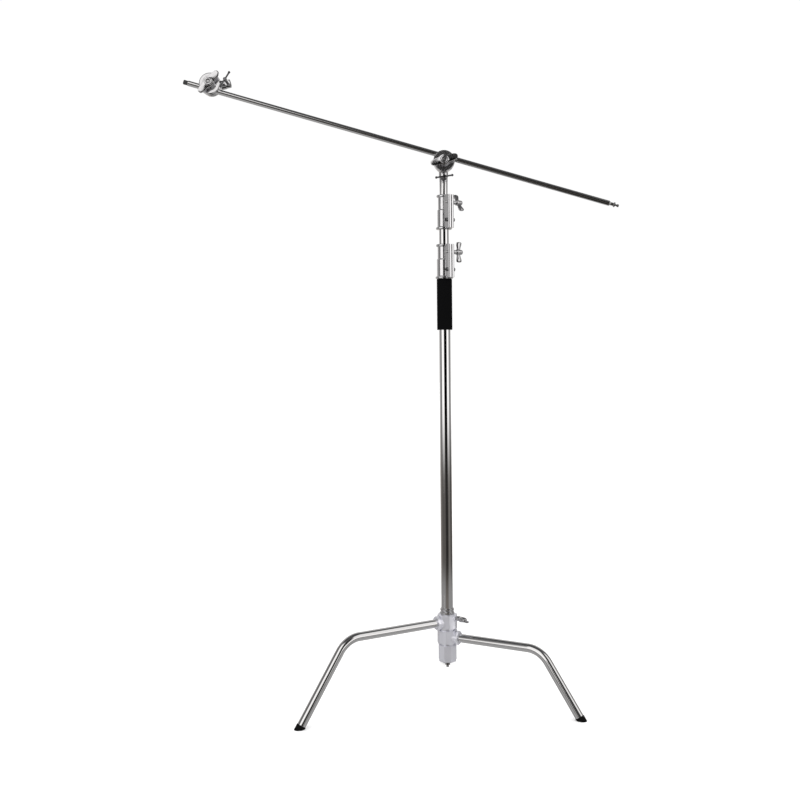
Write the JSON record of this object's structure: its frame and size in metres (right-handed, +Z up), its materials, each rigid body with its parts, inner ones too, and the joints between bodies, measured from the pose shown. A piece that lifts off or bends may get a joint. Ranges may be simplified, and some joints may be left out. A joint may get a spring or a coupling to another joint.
{
  "type": "c stand",
  "caption": "C-stand with nested bent legs, a telescoping column with wing-knob clamps, and a boom arm held between two grip heads.",
  "frame": {"origin": "on the column's axis at floor level, between the three feet", "axes": "+Z up the column, +X toward the boom's low end, -Y toward the front, where the wing handles face"},
  "size_m": [1.3025, 0.633, 1.8877],
  "materials": {
    "bright_chrome": "polished chrome plate",
    "satin_chrome": "satin chrome plate on castings",
    "steel_fasteners": "plain turned steel",
    "black_foam": "closed-cell foam sleeve",
    "black_rubber": "moulded rubber",
    "black_plastic": "moulded plastic",
    "white_nylon": "moulded nylon",
    "friction_fibre": "pressed fibre"
  },
  "bodies": {
    "base": {"base_tube": "bright_chrome", "lower_leg_casting": "satin_chrome", "lower_leg_tube": "bright_chrome", "lower_leg_foot": "black_rubber", "lower_leg_pin": "steel_fasteners", "leg_snap_ring": "steel_fasteners", "base_end_cap": "satin_chrome", "base_end_nut": "steel_fasteners", "base_end_bolt": "steel_fasteners", "grip_sleeve": "black_foam", "lower_collar_casting": "satin_chrome", "lower_collar_liner": "white_nylon", "lower_collar_adjust_bolt": "steel_fasteners"},
    "sliding_neck": {"neck_collar": "satin_chrome"},
    "upper_leg": {"upper_leg_casting": "satin_chrome", "upper_leg_tube": "bright_chrome", "upper_leg_foot": "black_rubber", "upper_leg_pin": "steel_fasteners"},
    "leg_lock": {"leg_lock_knob": "satin_chrome", "leg_lock_screw": "bright_chrome"},
    "middle_leg": {"middle_leg_casting": "satin_chrome", "middle_leg_tube": "bright_chrome", "middle_leg_foot": "black_rubber", "middle_leg_pin": "steel_fasteners"},
    "lower_clamp": {"lower_collar_clamp_knob": "satin_chrome", "lower_collar_clamp_screw": "bright_chrome"},
    "middle_riser": {"middle_tube": "bright_chrome", "middle_tube_plug": "white_nylon", "upper_collar_casting": "satin_chrome", "upper_collar_liner": "white_nylon", "upper_collar_adjust_bolt": "steel_fasteners"},
    "upper_clamp": {"upper_collar_clamp_knob": "satin_chrome", "upper_collar_clamp_screw": "bright_chrome"},
    "top_riser": {"top_tube": "bright_chrome", "top_tube_plug": "white_nylon", "top_stud": "bright_chrome"},
    "mast_receiver": {"mast_head_receiver": "satin_chrome", "mast_head_bolt": "steel_fasteners"},
    "mast_jaws": {"mast_head_friction_washer": "friction_fibre", "mast_head_inner_jaw": "satin_chrome", "mast_head_outer_jaw": "satin_chrome", "mast_head_spring": "steel_fasteners", "mast_head_thrust_washer": "steel_fasteners"},
    "mast_handle": {"mast_head_handle": "satin_chrome"},
    "mast_t_screw": {"mast_head_t_screw": "steel_fasteners"},
    "mast_tommy": {"mast_head_tommy_bar": "bright_chrome"},
    "boom": {"boom_rod": "bright_chrome", "boom_end_cap": "black_plastic", "boom_end_stud": "bright_chrome"},
    "arm_jaws": {"arm_head_friction_washer": "friction_fibre", "arm_head_inner_jaw": "satin_chrome", "arm_head_outer_jaw": "satin_chrome", "arm_head_spring": "steel_fasteners", "arm_head_thrust_washer": "steel_fasteners"},
    "arm_receiver": {"arm_head_receiver": "satin_chrome", "arm_head_bolt": "steel_fasteners"},
    "arm_handle": {"arm_head_handle": "satin_chrome"},
    "arm_t_screw": {"arm_head_t_screw": "steel_fasteners"},
    "arm_tommy": {"arm_head_tommy_bar": "bright_chrome"}
  },
  "joints": [
    {"name": "upper_leg_slide", "type": "slide", "parent": "base", "child": "sliding_neck", "axis": [0, 0, 1], "range_m": [0, 0.2]},
    {"name": "upper_leg_turn", "type": "hinge", "parent": "sliding_neck", "child": "upper_leg", "pos_m": [0, 0, 0.2293], "axis": [0, 0, 1], "range_deg": [-120, 0]},
    {"name": "leg_lock_turn", "type": "hinge", "parent": "upper_leg", "child": "leg_lock", "pos_m": [0.02703, -0.01893, 0.2425], "axis": [0.8192, -0.5736, 0], "range_deg": [-180, 180]},
    {"name": "middle_leg_turn", "type": "hinge", "parent": "base", "child": "middle_leg", "pos_m": [0, 0, 0.1847], "axis": [0, 0, 1], "range_deg": [0, 120]},
    {"name": "lower_clamp_turn", "type": "hinge", "parent": "base", "child": "lower_clamp", "pos_m": [0.0165, -0.02858, 1.3465], "axis": [0.866, 0.5, 0], "range_deg": [-180, 180]},
    {"name": "middle_riser_slide", "type": "slide", "parent": "base", "child": "middle_riser", "axis": [0, 0, 1], "range_m": [-0.04, 0.8]},
    {"name": "upper_clamp_turn", "type": "hinge", "parent": "middle_riser", "child": "upper_clamp", "pos_m": [0.0165, -0.02858, 1.4955], "axis": [0.866, 0.5, 0], "range_deg": [-180, 180]},
    {"name": "top_riser_slide", "type": "slide", "parent": "middle_riser", "child": "top_riser", "axis": [0, 0, 1], "range_m": [-0.036, 0.8]},
    {"name": "mast_head_swivel", "type": "hinge", "parent": "top_riser", "child": "mast_receiver", "pos_m": [0, 0, 1.58], "axis": [0, 0, 1], "continuous": true},
    {"name": "mast_head_tilt", "type": "hinge", "parent": "mast_receiver", "child": "mast_jaws", "pos_m": [0, 0, 1.617], "axis": [0, 1, 0], "range_deg": [-66, 34]},
    {"name": "mast_handle_turn", "type": "hinge", "parent": "mast_receiver", "child": "mast_handle", "pos_m": [0, -0.06, 1.617], "axis": [0, -1, 0], "range_deg": [-180, 180]},
    {"name": "mast_t_screw_turn", "type": "hinge", "parent": "mast_receiver", "child": "mast_t_screw", "pos_m": [0, -0.05, 1.569], "axis": [0, -1, 0], "range_deg": [-180, 180]},
    {"name": "mast_tommy_slide", "type": "slide", "parent": "mast_t_screw", "child": "mast_tommy", "axis": [0.9903, 0, 0.1392], "range_m": [-0.012, 0.012]},
    {"name": "boom_slide", "type": "slide", "parent": "mast_jaws", "child": "boom", "axis": [0.9593, 0, -0.2823], "range_m": [-0.42, 0.58]},
    {"name": "arm_head_turn", "type": "hinge", "parent": "boom", "child": "arm_jaws", "pos_m": [-0.70182, -0.0361, 1.83919], "axis": [0.9593, 0, -0.2823], "continuous": true},
    {"name": "arm_receiver_turn", "type": "hinge", "parent": "arm_jaws", "child": "arm_receiver", "pos_m": [-0.69759, 0, 1.85358], "axis": [0, -1, 0], "range_deg": [-25, 140]},
    {"name": "arm_handle_turn", "type": "hinge", "parent": "arm_receiver", "child": "arm_handle", "pos_m": [-0.69759, -0.06, 1.85358], "axis": [0, -1, 0], "range_deg": [-180, 180]},
    {"name": "arm_t_screw_turn", "type": "hinge", "parent": "arm_receiver", "child": "arm_t_screw", "pos_m": [-0.65063, -0.05, 1.86356], "axis": [0, -1, 0], "range_deg": [-180, 180]},
    {"name": "arm_tommy_slide", "type": "slide", "parent": "arm_t_screw", "child": "arm_tommy", "axis": [0.5299, 0, 0.848], "range_m": [-0.012, 0.012]}
  ]
}
